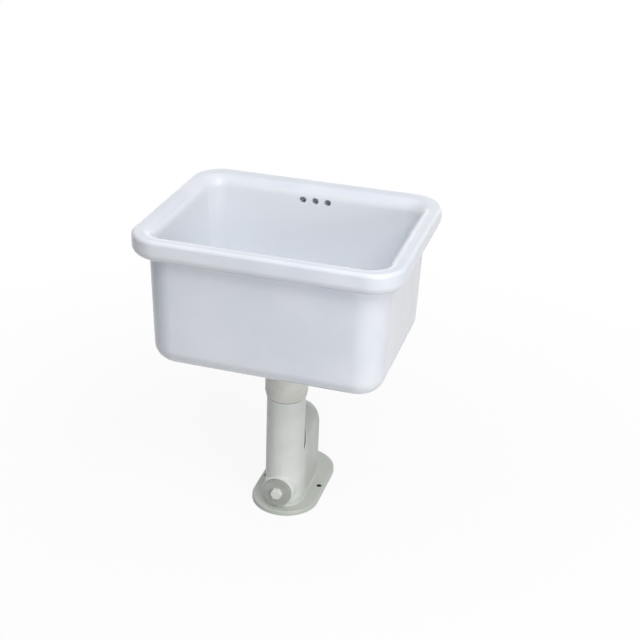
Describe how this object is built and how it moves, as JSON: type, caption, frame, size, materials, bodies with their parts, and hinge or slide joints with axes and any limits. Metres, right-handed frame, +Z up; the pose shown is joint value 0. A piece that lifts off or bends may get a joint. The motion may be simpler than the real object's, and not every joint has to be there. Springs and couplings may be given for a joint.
{
  "type": "mop service sink",
  "caption": "Deep rectangular china mop sink with a rolled rim and overflow, standing on a painted cast-iron S-trap with a floor flange and a screwed cleanout.",
  "frame": {"origin": "on the floor, on the vertical axis of the trap's inlet pipe and the waste", "axes": "+Z up, -Y towards the user, +Y to the wall, +X to the user's right"},
  "size_m": [0.5, 0.4, 0.623],
  "materials": {
    "white_glaze": "gloss",
    "waste_chrome": "polished",
    "nut_brass": "satin",
    "slip_fibre": "satin",
    "black_rubber": "matt",
    "collar_paint": "satin paint",
    "trap_iron": "satin paint",
    "plug_paint": "satin paint"
  },
  "bodies": {
    "sink": {"basin": "white_glaze", "waste_flange": "waste_chrome", "flange_seal": "black_rubber", "basin_seal": "black_rubber", "slip_washer": "slip_fibre", "waste_locknut": "nut_brass", "connecting_collar": "collar_paint", "spigot_seal": "black_rubber", "trap_casting": "trap_iron", "floor_seal": "black_rubber"},
    "strainer": {"strainer_grate": "waste_chrome"},
    "plug_gasket": {"cleanout_gasket": "black_rubber"},
    "plug": {"cleanout_plug": "plug_paint"}
  },
  "joints": [
    {"name": "strainer_lift", "type": "slide", "parent": "sink", "child": "strainer", "axis": [0, 0, 1], "range_m": [0, 0.24]},
    {"name": "cleanout_draw", "type": "slide", "parent": "sink", "child": "plug_gasket", "axis": [0, -1, 0], "range_m": [0, 0.014]},
    {"name": "cleanout_turn", "type": "hinge", "parent": "plug_gasket", "child": "plug", "pos_m": [0, -0.043, 0.0475], "axis": [0, -1, 0], "range_deg": [0, 2160]}
  ],
  "couplings": [
    {"joint": "cleanout_draw", "follows": "cleanout_turn", "m_per_rad": 0.0003675}
  ]
}
